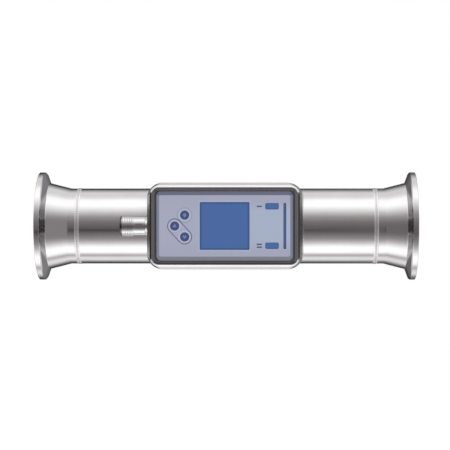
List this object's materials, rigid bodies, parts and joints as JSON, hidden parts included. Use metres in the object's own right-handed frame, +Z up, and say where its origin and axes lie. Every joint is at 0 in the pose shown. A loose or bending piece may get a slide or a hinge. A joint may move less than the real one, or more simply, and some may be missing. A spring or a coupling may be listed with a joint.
{
  "type": "ultrasonic flow meter",
  "caption": "Inline ultrasonic flow meter: straight stainless tube with clamp ferrules and a rounded display head with push buttons, status windows and a threaded plug.",
  "frame": {"origin": "on the measuring tube's axis, midway between the two gasket faces", "axes": "+X along the tube from inlet to outlet, +Z up, the display faces -Y"},
  "size_m": [0.224, 0.0951, 0.064],
  "materials": {
    "tube_steel": "bright drawn stainless steel",
    "ferrule_steel": "turned stainless steel",
    "weld_steel": "matt orbital weld",
    "head_steel": "electropolished cast stainless steel",
    "plug_steel": "turned stainless steel",
    "sheet_steel": "stamped stainless steel",
    "panel_plastic": "fine satin moulding",
    "pane_plastic": "tinted window",
    "status_plastic": "tinted light guide",
    "button_plastic": "satin moulding",
    "gasket_rubber": "moulded silicone",
    "mat_rubber": "moulded silicone",
    "module_metal": "folded bezel",
    "board_laminate": "solder mask",
    "component_plastic": "moulded package",
    "switch_metal": "stamped cover",
    "standoff_brass": "turned brass",
    "ribbon_film": "polyimide film",
    "wedge_plastic": "machined engineering plastic",
    "piezo_ceramic": "silvered ceramic",
    "wire_jacket": "extruded jacket",
    "pin_metal": "gold plated",
    "insert_plastic": "moulded insert"
  },
  "bodies": {
    "meter": {"measuring_tube": "tube_steel", "inlet_ferrule": "ferrule_steel", "outlet_ferrule": "ferrule_steel", "inlet_weld": "weld_steel", "outlet_weld": "weld_steel", "housing": "head_steel", "front_panel": "panel_plastic", "panel_gasket": "gasket_rubber", "display_pane": "pane_plastic", "status_window_one": "status_plastic", "status_window_two": "status_plastic", "status_bar": "status_plastic", "key_mat": "mat_rubber", "key_switches": "switch_metal", "display_module": "module_metal", "display_board": "board_laminate", "display_board_parts": "component_plastic", "board_standoffs": "standoff_brass", "board_nuts": "sheet_steel", "board_ribbon": "ribbon_film", "main_board": "board_laminate", "main_board_parts": "component_plastic", "inlet_wedge": "wedge_plastic", "outlet_wedge": "wedge_plastic", "inlet_piezo": "piezo_ceramic", "outlet_piezo": "piezo_ceramic", "transducer_cables": "wire_jacket", "temperature_sensor": "component_plastic", "transducer_bridge": "sheet_steel", "bridge_studs": "sheet_steel", "bridge_nuts": "sheet_steel", "connector_shell": "plug_steel", "connector_insert": "insert_plastic", "connector_pins": "pin_metal", "connector_seal": "gasket_rubber", "connector_nut": "plug_steel", "connector_wires": "wire_jacket"},
    "upper_button": {"button_upper": "button_plastic"},
    "left_button": {"button_left": "button_plastic"},
    "lower_button": {"button_lower": "button_plastic"}
  },
  "joints": [
    {"name": "upper_button_press", "type": "slide", "parent": "meter", "child": "upper_button", "axis": [0, 1, 0], "range_m": [0, 0.0006], "stiffness_N_per_m": 3000, "springref_m": -0.0002},
    {"name": "left_button_press", "type": "slide", "parent": "meter", "child": "left_button", "axis": [0, 1, 0], "range_m": [0, 0.0006], "stiffness_N_per_m": 3000, "springref_m": -0.0002},
    {"name": "lower_button_press", "type": "slide", "parent": "meter", "child": "lower_button", "axis": [0, 1, 0], "range_m": [0, 0.0006], "stiffness_N_per_m": 3000, "springref_m": -0.0002}
  ]
}
